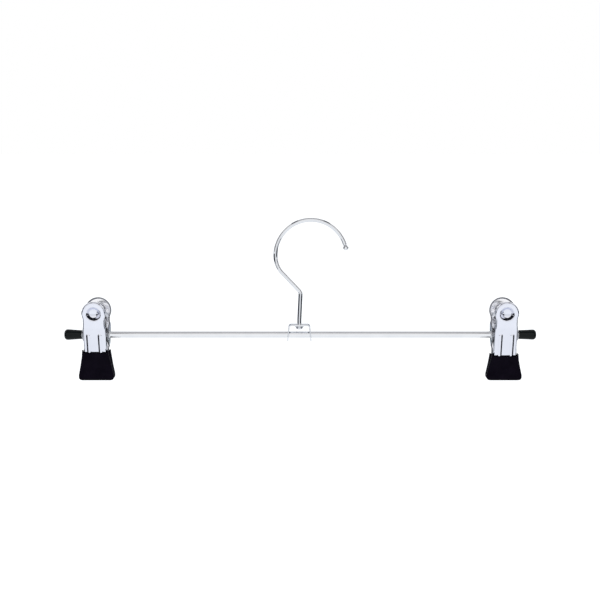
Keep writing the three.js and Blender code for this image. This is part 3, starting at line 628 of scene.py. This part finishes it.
def plate_surface(boot_top, plate):
    """A stamped clip plate. Its face is a grid: rows follow the outline's inner line, moved in by the
    bend, and columns share each row's width. Below the rim the jaw is a plain grid with rounded foot
    corners. Bend, rim and ear follow along both sides."""
    middle = TAB_TOP - TAB_RADII[plate]
    rib_foot = boot_top - RIB_TUCK
    press = lambda x, z: pressed(x, z, rib_foot, middle)
    outline, normal = plate_outline(boot_top + FIT_GAP, plate)
    x, z = (outline - (RIM_BEND + SHEET / 2) * normal).T
    x[-1] = 0
    share = np.linspace(-1, 1, 89)
    face_x = x[:, None] * share
    face_z = np.repeat(z[:, None], len(share), 1)
    points, cells = grid(press(face_x, face_z))
    rows = np.searchsorted(z, [middle - DISH_BLOCK, middle + DISH_BLOCK])
    columns = np.searchsorted(share, [-DISH_BLOCK_SHARE, DISH_BLOCK_SHARE])
    outside_dish = np.ones((len(z) - 1, len(share) - 1), bool)
    outside_dish[slice(*rows), slice(*columns)] = False
    face = points, cells[outside_dish.ravel()]
    dish = dish_patch(face_x, face_z, rows, columns, rib_foot, middle)

    top, corner_radius = z[0] - 0.4, JAW_CORNER - SHEET_EDGE
    turn = np.linspace(0, math.pi / 2, 8)
    rows = joined(
        -JAW_DROP + SHEET_EDGE + corner_radius * (1 - np.cos(turn)),
        np.linspace(-JAW_DROP + JAW_CORNER, top, 50)[1:])
    corner = np.clip(rows + JAW_DROP - JAW_CORNER, -corner_radius, 0)
    width = half_width(rows, plate) - SHEET_EDGE
    width += np.sqrt(corner_radius ** 2 - corner ** 2) - corner_radius
    inner_share = x[0] / width[-1]
    flank = np.linspace(inner_share, 1, 7)[1:]
    columns = joined(-flank[::-1], share * inner_share, flank)
    jaw = grid(press(width[:, None] * columns, rows[:, None]))
    bridge = grid(press(x[0] * share, np.linspace(top, z[0], 3)[:, None]))

    right = rim_and_ear(x, z, normal, plate)
    sheet = together(face, dish, jaw, bridge, *right, *[mirrored(wall) for wall in right])
    return skin(sheet, SHEET, SHEET_EDGE)


# Rubber boots

def ring_pattern():
    """Round-cornered rectangle, once round: for each point its share of the half sides left straight
    (x, y) and its direction from the corner's middle (x, y)."""
    turn = np.linspace(0, math.pi / 2, 9)
    long_side, short_side = np.linspace(1, -1, 65)[1:-1], np.linspace(1, -1, 13)[1:-1]
    blocks = []
    for quarter, (sx, sy) in enumerate([(1, 1), (-1, 1), (-1, -1), (1, -1)]):
        blocks.append(at(sx, sy, *circle(1, turn + quarter * math.pi / 2).T))
        blocks.append(
            at(sx, short_side * sy, sx, 0) if quarter % 2 else at(long_side * sx, sy, 0, sy))
    return joined(*blocks)


def boot_surface(side, plate):
    """A moulded boot about the front jaw. Each height has a round-cornered ring; the rings run from
    the middle of the foot up the outside, over the lip and down the pocket. The lip rises into a
    shoulder at both sides: the upper rings are lifted by a smooth step of the distance from the
    middle. The grip face has shallow grooves, and the pocket's front wall makes room for the
    ribs."""
    height, top = BOOT_HEIGHTS[side], BOOT_FOOT + BOOT_HEIGHTS[side]
    tip = JAW_HALF_WIDTH + FIT_GAP + BOOT_TIP_SIDE
    crown = jaw_half_width(top) + FIT_GAP + BOOT_TOP_SIDE
    room = SHEET / 2 + FIT_GAP
    pattern = ring_pattern()

    def outside(z):
        up = z - BOOT_FOOT
        width = tip + (crown - tip) * np.clip((up - BOOT_UPRIGHT) / (height - BOOT_UPRIGHT), 0, 1)
        low = np.clip(BOOT_CORNER - up, 0, BOOT_CORNER)
        width = width - BOOT_CORNER + np.sqrt(BOOT_CORNER ** 2 - low ** 2)
        front = -sheet_depth(np.maximum(z, -JAW_DROP)) - room - BOOT_OUTER_WALL
        slope = (sheet_depth(top) - room - BOOT_INNER_WALL - GRIP_GAP / 2) / (height - GRIP_HEIGHT)
        back = -GRIP_GAP / 2 - slope * GRIP_EASE * np.logaddexp(0, (up - GRIP_HEIGHT) / GRIP_EASE)
        below = np.clip(BOOT_FOOT_ROUND - up, 0, BOOT_FOOT_ROUND)
        round_off = BOOT_FOOT_ROUND - np.sqrt(BOOT_FOOT_ROUND ** 2 - below ** 2)
        return width, front + round_off, back - round_off * 0.6

    def pocket(z):
        return jaw_half_width(z) + FIT_GAP, -sheet_depth(z) - room, -sheet_depth(z) + room

    def rings(z, width, front, back, corner):
        corner = np.minimum(corner, 0.48 * (back - front))[:, None]
        straight_x, straight_y, corner_x, corner_y = pattern.T
        middle, half = (front + back)[:, None] / 2, (back - front)[:, None] / 2
        x = straight_x * (width[:, None] - corner) + corner_x * corner
        y = middle + straight_y * (half - corner) + corner_y * corner
        return at(x, y, z[:, None])

    start = 1 - np.cos(np.linspace(0, math.pi / 2, 12))
    lip_foot = top - BOOT_LIP_ROUND
    outer_z = joined(
        BOOT_FOOT + BOOT_CORNER * start, np.linspace(BOOT_FOOT + BOOT_CORNER, lip_foot, 110)[1:])
    outer = rings(outer_z, *outside(outer_z), BOOT_RING_ROUND)
    on_grip = (pattern[:, 3] > 0.99) & (np.abs(pattern[:, 0]) < 0.93)
    past_first, to_last = outer_z - BOOT_FOOT - GROOVES_FROM, BOOT_FOOT + GROOVES_TO - outer_z
    within = np.clip(past_first / GROOVE_FADE, 0, 1) * np.clip(to_last / GROOVE_FADE, 0, 1)
    wave = (0.5 - 0.5 * np.cos(2 * math.pi * past_first / GROOVE_PITCH)) ** 3
    outer[:, on_grip, 1] -= (GROOVE_DEPTH * within * wave)[:, None]

    pocket_z = np.linspace(lip_foot, -JAW_DROP - FIT_GAP, 50)
    inside = rings(pocket_z, *pocket(pocket_z), POCKET_ROUND)
    rib_room = rib_rise(inside[..., 0], inside[..., 2], top - RIB_TUCK)
    inside[..., 1] -= np.where(pattern[:, 3] < -0.9, rib_room, 0)

    t = np.linspace(0, math.pi, 13)[1:-1, None]
    lip = outer[-1] + (inside[0] - outer[-1]) * ((1 - np.cos(t)) / 2)[..., None]
    lip[..., 2] = lip_foot + BOOT_LIP_ROUND * np.sin(t)

    def closing(ring, shares):
        centre = ring.mean(0) * [0, 1, 1]
        return centre + (ring - centre) * np.array(shares)[:, None, None]

    everything = joined(
        closing(outer[0], [0, 0.4, 0.8]), outer, lip, inside, closing(inside[-1], [0.6, 0]))
    past_jaw = np.abs(everything[..., 0]) - jaw_half_width(top) - FIT_GAP
    beside = np.clip((past_jaw + BOOT_SHOULDER_REACH) / BOOT_SHOULDER_RUN, 0, 1)
    near_lip = np.clip(1 + (everything[..., 2] - top) / BOOT_SHOULDER_DROP, 0, 1)
    lift = BOOT_SHOULDERS[plate] * smooth_step(beside) * near_lip
    everything[..., 1] -= BODY_SLOPE * lift
    everything[..., 2] += lift
    return outward(welded(grid(everything, closed=True)))


# Pivot tube and spring

def tube_surface():
    """A thin sleeve with both ends rolled outwards: its profile is a softened closed line."""
    bore, body, flare = BORE_RADIUS, TUBE_RADIUS, TUBE_RADIUS + TUBE_FLARE_RIM
    end, neck = TUBE_HALF_LENGTH, TUBE_HALF_LENGTH - TUBE_FLARE
    return turned(rounded([
        [bore, 0], [bore, -end], [flare, -end], [flare, -neck], [body, -neck], [body, neck],
        [flare, neck], [flare, end], [bore, end], [bore, 0]], TUBE_ROUND), "x", 72)


def spring_half():
    """The half of the torsion spring that presses on the front tab, from its leg to the coil's
    middle, about x. Along the coil the angle and x both grow evenly; the leg leaves the first curl
    along its tangent up to the tab."""
    turn = np.linspace(0, SPRING_TURN / 2, 190)
    angle = turn + SPRING_LEG_ANGLE
    x = SPRING_PITCH * turn / (2 * math.pi) - SPRING_REACH
    radial = at(0, np.cos(angle), np.sin(angle))
    coil = SPRING_RADIUS * radial + at(x, 0, 0)
    direction = np.array([0, math.sin(SPRING_LEG_ANGLE), -math.cos(SPRING_LEG_ANGLE)])
    depth, height = -coil[0, 1], coil[0, 2]
    face = sheet_depth(SHOULDER) - SHEET / 2 + TAB_SLOPE * (height - SHOULDER)
    stand_off = (SPRING_WIRE + FIT_GAP) * math.hypot(1, TAB_SLOPE)
    length = (face - stand_off - depth) / (-direction[1] - TAB_SLOPE * direction[2])
    tip, tip_radii = wire_end(coil[0] + direction * length, -direction, SPRING_WIRE, SPRING_END_ROUND)
    leg = coil[0] + direction * np.linspace(length - 0.6, 0.3, 24)[:, None]
    path = joined(tip, leg, coil, coil[-1:])
    across = joined(np.tile(radial[0], (len(tip) + len(leg), 1)), radial, radial[-1:])
    radii = joined(tip_radii, np.full(len(leg) + len(coil), SPRING_WIRE), [0])
    return wire(path, across, radii, 18)


# Finishes

def feed(tree, node, inputs):
    """Gives a node its inputs, by name or number: a socket is linked, the rest are values."""
    for name, given in inputs.items():
        if isinstance(given, bpy.types.NodeSocket):
            tree.links.new(given, node.inputs[name])
        else:
            node.inputs[name].default_value = given


def add_node(tree, kind, inputs=(), **settings):
    """The outputs of a new shader node with its settings and inputs."""
    node = tree.nodes.new("ShaderNode" + kind)
    for name, value in settings.items():
        setattr(node, name, value)
    feed(tree, node, dict(inputs))
    return node.outputs


def ranged(tree, value, low, high, start=0.3, end=0.7):
    """A value spread over a new range."""
    return add_node(tree, "MapRange", {
        "Value": value, "From Min": start, "From Max": end, "To Min": low, "To Max": high})["Result"]


def new_finish(name, cloud, colours, patches, sheen, bumps, inputs, spread=(0.3, 0.7)):
    """A new material from noises on the object's coordinates, each given by scale, detail and any
    stretch along the axes. The cloud blends the colours, the patches spread the roughness over the
    sheen, and each bump has its distance in metres and its strength, one on the next."""
    material = bpy.data.materials.new(name)
    material.use_nodes = True
    tree = material.node_tree
    coordinates = add_node(tree, "TexCoord")["Object"]

    def noise(scale, detail, stretch=None):
        place = coordinates
        if stretch is not None:
            place = add_node(tree, "Mapping", {"Scale": stretch, "Vector": place})["Vector"]
        return add_node(tree, "TexNoise", {
            "Scale": scale, "Detail": detail, "Vector": place})["Fac"]

    first, second = colours
    blend = add_node(tree, "Mix", {
        "Factor": ranged(tree, noise(*cloud), 0, 1, *spread), "A": (*first, 1), "B": (*second, 1)},
        data_type="RGBA")
    below = {}
    for grain, distance, strength in bumps:
        bump = {"Height": noise(*grain), "Distance": distance, "Strength": strength}
        below = {"Normal": add_node(tree, "Bump", bump | below)["Normal"]}
    feed(tree, tree.nodes["Principled BSDF"], inputs | below | {
        "Base Color": blend["Result"], "Roughness": ranged(tree, noise(*patches), *sheen)})
    return material


def plated(name, bright, dull, gloss, draw=None):
    """Bright chrome plate: slightly cloudy colour, wiped patches of roughness, the faint ripple of
    the metal below, and fine scratches along the drawing direction if there is one."""
    bumps = ((420, 2), 0.00001, 0.35), ((2600, 4, draw), 0.000002, 0.3)
    sheen = gloss, gloss + 0.05
    return new_finish(name, (90, 4), (bright, dull), (260, 5), sheen, bumps, {"Metallic": 1.0})


CHROME_WIRE = plated("chrome_wire", (0.80, 0.81, 0.835), (0.74, 0.75, 0.78), 0.045, (1, 1, 0.25))
CHROME_ROD = plated("chrome_rod", (0.84, 0.845, 0.865), (0.79, 0.80, 0.825), 0.05, (0.12, 1, 1))
CHROME_STRIP = plated("chrome_strip", (0.80, 0.81, 0.84), (0.75, 0.76, 0.79), 0.06)
CHROME_PLATE = plated("chrome_plate", (0.785, 0.80, 0.875), (0.75, 0.765, 0.845), 0.055)
# The plates' inner faces: the same chrome painted much brighter, a painted light that makes the inner
# faces read white.
CHROME_INSIDE_PAINTED_BRIGHT = plated("chrome_plate_inside_painted_bright", (0.93, 0.935, 0.96), (0.90, 0.905, 0.94), 0.07)
# The sheet's rounded edges: the same chrome painted dark grey, a painted shade that draws a dark
# outline round each plate.
PAINTED_SHADE_EDGE = plated("plate_edge_painted_shade", (0.27, 0.275, 0.29), (0.19, 0.195, 0.21), 0.16)
# One finish for each of the skin's places: outer faces in plain chrome, inner faces with painted
# light, edges with painted shade.
PLATE_CHROME_AND_PAINTED_LIGHT = [CHROME_PLATE, CHROME_INSIDE_PAINTED_BRIGHT, PAINTED_SHADE_EDGE]

# Spring wire: grey drawn steel with a thin oil film and streaks.
SPRING_STEEL = new_finish(
    "spring_steel", (1500, 5, (3.5, 1, 1)), ((0.36, 0.37, 0.39), (0.56, 0.57, 0.59)),
    (700, 4), (0.2, 0.36), [((3000, 4, (4, 1, 1)), 0.000004, 0.4)],
    {"Metallic": 1.0, "Coat Weight": 0.25, "Coat Roughness": 0.15})

# Matt black rubber: a fine moulded grain, rubbed satin patches and a little bloom.
RUBBER = new_finish(
    "boot_rubber", (160, 5), ((0.0022, 0.0013, 0.0042), (0.0044, 0.0027, 0.0074)),
    (420, 4), (0.5, 0.68), [((900, 3), 0.00003, 0.5), ((5200, 3), 0.00001, 0.5)],
    {"Specular IOR Level": 0.035}, (0.35, 0.75))

# Soft black vinyl with a blue-green cast: satin, with the slow waves of a dipped skin.
VINYL = new_finish(
    "cap_vinyl", (220, 4), ((0.0012, 0.0026, 0.0030), (0.0028, 0.0050, 0.0056)),
    (600, 4), (0.10, 0.16), [((240, 2), 0.00012, 0.5), ((2400, 3), 0.00001, 0.4)],
    {"Specular IOR Level": 0.16})


# Assembly

def build_frame():
    """The rod with its bracket and caps."""
    make_piece("rod_bar", rod_surface(), "frame", "rod", CHROME_ROD)
    make_piece("rod_bracket", bracket_surface(), "frame", "bracket", CHROME_STRIP, SWIVEL)
    for side, cap in (("left", half_turned(cap_surface("left"))), ("right", cap_surface("right"))):
        make_piece(f"{side}_dipped_cap", cap, "frame", f"{side}_end_cap", VINYL)


def build_hook():
    """The hook with its ball and washer."""
    make_piece("hook_wire", hook_surface(), "hook", "hook", CHROME_WIRE, SWIVEL)
    make_piece("hook_ball", ball_surface(), "hook", "hook_tip_ball", CHROME_WIRE, SWIVEL)
    make_piece("hook_ring", washer_surface(), "hook", "hook_washer", CHROME_STRIP, SWIVEL)


def build_clip(side):
    """One clip at its place on the rod. The rear plate, boot and half of the spring are the front
    ones' shapes turned half a turn; the spring's halves ride on no body."""
    place = (CLIP_PLACES[side], 0, 0)
    make_piece(f"{side}_sleeve", tube_surface(), f"{side}_slider", f"{side}_pivot_tube",
               CHROME_STRIP, place)
    for plate, sign in (("front", -1), ("rear", 1)):
        facing = half_turned if plate == "rear" else tuple
        name, body = f"{side}_{plate}", f"{side}_{plate}_jaw"
        *stamped, places = plate_surface(BOOT_FOOT + BOOT_HEIGHTS[side], plate)
        # The plate's outer faces are plain chrome; its inner faces carry painted light and its edges
        # carry painted shade.
        make_piece(f"{name}_stamping", facing(stamped), body, f"{name}_plate",
                   PLATE_CHROME_AND_PAINTED_LIGHT, place, places)
        make_piece(f"{name}_rubber", facing(boot_surface(side, plate)), body, f"{name}_boot",
                   RUBBER, place)
        half = make_piece(f"{name}_coil", facing(spring_half()), None, f"{side}_spring",
                          SPRING_STEEL, place)
        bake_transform(half)


# Camera, floor and studio, in metres

FLOOR, EYE_LEVEL = -0.40, -0.05
CARD_COLOURS = {
    "black": (0.012, 0.012, 0.016), "dusk": (0.30, 0.33, 0.385), "grey": (0.26, 0.265, 0.28),
    "pale": (0.66, 0.66, 0.675), "teal": (0.05, 0.085, 0.10)}
TRUSS = ((1, 12, 30, 45, 60, 78, 90, 102, 120, 135, 150, 168, 179),
         (50, 50, 51, 56, 54, 58, 59, 58, 54, 56, 51, 50, 50),
         (88, 88, 85, 78, 81, 74, 72, 74, 81, 78, 85, 88, 88))


def add_camera():
    """A long lens in front of the hanger and a little above it."""
    target, distance, lift = np.array([-0.0083, 0, -0.0596]), 1.025, math.radians(8)
    camera = linked("camera", bpy.data.cameras.new("camera"))
    camera.data.lens, camera.data.sensor_width = 80.7, 36
    camera.location = target + distance * np.array([0, -math.cos(lift), math.sin(lift)])
    camera.rotation_euler = (math.pi / 2 - lift, 0, 0)
    camera.data.clip_start, camera.data.clip_end = 0.05, 60
    bpy.context.scene.camera = camera


def staged(name, surface, material):
    """A stage object from a surface in metres."""
    mesh = bpy.data.meshes.new(name)
    mesh.from_pydata(surface[0].tolist(), [], surface[1].tolist())
    mesh.materials.append(material)
    piece = linked(name, mesh)
    return piece


def bare_tree(block):
    """The emptied node tree of a new material or world."""
    block.use_nodes = True
    block.node_tree.nodes.clear()
    return block.node_tree


def card_finish(name, colour):
    """A plain emitting card, which metal mirrors at exactly its colour."""
    material = bpy.data.materials.new(name)
    tree = bare_tree(material)
    light = add_node(tree, "Emission", {"Color": (*colour, 1)})
    add_node(tree, "OutputMaterial", {"Surface": light[0]})
    return material


def reflected_card(name, surface, material):
    """A studio card that only mirrors see: it casts no shadow and isn't seen itself."""
    card = staged(name, surface, material)
    card.visible_camera = card.visible_diffuse = card.visible_shadow = False
    card.visible_transmission = card.visible_volume_scatter = False


def curved_panel(start, end, low, high, radius=1.2):
    """Part of an upright cylinder about the origin, between two azimuths in degrees, 0 towards the
    camera and 90 towards +X."""
    row = circle(radius, np.radians(np.linspace(start, end, 24) - 90))
    return grid(at(*row.T, [[low], [high]]))


def arched_panel(angles, fronts, backs, radius=1.2):
    """Part of a vault about the Y axis. At each angle in degrees, 0 towards +X and 90 upwards, it
    reaches from a front to a back, both in degrees from the -Y axis."""
    fine = np.linspace(angles[0], angles[-1], 120)
    x, z = circle(radius, np.radians(fine), (0, EYE_LEVEL)).T
    edges = np.radians([np.interp(fine, angles, values) for values in (fronts, backs)])
    return grid(at(x, -radius / np.tan(edges), z))


def flat_panel(x, y, z):
    """A level rectangle."""
    return grid(at(x, np.reshape(y, (2, 1)), z))


def seen_directly(tree, *kinds):
    """1 for the named kinds of ray of the Light Path, added up and capped at 1."""
    ray = add_node(tree, "LightPath")
    total = ray[kinds[0]]
    for kind in kinds[1:]:
        total = add_node(tree, "Math", {0: total, 1: ray[kind]}, operation="ADD", use_clamp=True)[0]
    return total


def add_floor():
    """A pale floor that keeps the object's shadow, lifted to white where it is seen or mirrored."""
    material = bpy.data.materials.new("pale_floor")
    tree = bare_tree(material)
    matt = add_node(tree, "BsdfDiffuse", {"Color": (0.86, 0.86, 0.86, 1)})
    mirrored_light = ranged(
        tree, seen_directly(tree, "Is Glossy Ray", "Is Transmission Ray"), 0, 0.2, 0, 1)
    strength = add_node(tree, "Math", {
        0: seen_directly(tree, "Is Camera Ray"), 1: 0.55, 2: mirrored_light}, operation="MULTIPLY_ADD")
    lift = add_node(tree, "Emission", {"Strength": strength[0]})
    add = add_node(tree, "AddShader", {0: matt[0], 1: lift[0]})
    add_node(tree, "OutputMaterial", {"Surface": add[0]})
    staged("floor", flat_panel((-9, 9), (-9, 14), FLOOR), material)


def add_world():
    """White where it is seen directly or in metal, and a plain soft light for the rest."""
    world = bpy.data.worlds.new("studio")
    tree = bare_tree(world)
    seen = seen_directly(tree, "Is Camera Ray", "Is Glossy Ray", "Is Transmission Ray")
    soft = add_node(tree, "Background", {"Color": (0.93, 0.965, 1.0, 1), "Strength": 0.8})
    white = add_node(tree, "Background", {"Color": (1, 1, 1, 1)})
    mix = add_node(tree, "MixShader", {"Fac": seen, 1: soft[0], 2: white[0]})
    add_node(tree, "OutputWorld", {"Surface": mix[0]})
    bpy.context.scene.world = world


def add_lamp(name, place, aim, size, power):
    """A round lamp that lights the object and its shadow, but isn't mirrored in the chrome."""
    lamp = linked(name, bpy.data.lights.new(name, "AREA"))
    lamp.data.shape, lamp.data.size, lamp.data.energy = "DISK", size, power
    lamp.location = place
    lamp.rotation_euler = (Vector(aim) - Vector(place)).to_track_quat("-Z", "Y").to_euler()
    lamp.visible_glossy = False


def add_studio():
    """Two soft lamps at the upper left and right, and what the chrome mirrors: black walls at both
    sides and black floor beyond the white table, grey beams and a pale ceiling overhead, a black
    truss nearer by, and the far wall with its darker foot."""
    finish = {name: card_finish(f"{name}_card", colour) for name, colour in CARD_COLOURS.items()}
    black, wall_top, far_foot, far_top = finish["black"], -0.10, -0.335, 0.18
    for sign, side, beam in ((-1, "left", (112, 124)), (1, "right", (56, 68))):
        add_lamp(f"{side}_lamp", (sign * 0.36, -1.02, 0.52), (sign * 0.1, 0, -0.08), 0.15, 2.0)
        wall = curved_panel(sign * 36, sign * 110, FLOOR, wall_top)
        reflected_card(f"{side}_wall_card", wall, black)
        patch = flat_panel((sign * 0.52, sign * 2.6), (-0.5, -0.05), FLOOR + 0.004)
        reflected_card(f"{side}_floor_card", patch, black)
        strip = arched_panel(beam, (45, 45), (150, 150), 1.15)
        reflected_card(f"{side}_beam_card", strip, finish["grey"])
    ceiling = arched_panel((68, 112), (54, 54), (165, 165))
    reflected_card("ceiling_card", ceiling, finish["pale"])
    reflected_card("truss_card", arched_panel(*TRUSS, 1.1), black)
    reflected_card("far_card", curved_panel(112, 248, far_foot, far_top, 1.6), finish["dusk"])
    reflected_card("far_foot_card", curved_panel(112, 248, FLOOR, far_foot, 1.6), finish["teal"])


build_frame()
build_hook()
for clip_side in ("left", "right"):
    build_clip(clip_side)
add_camera()
add_floor()
add_world()
add_studio()
bpy.context.scene.view_settings.view_transform = "Standard"
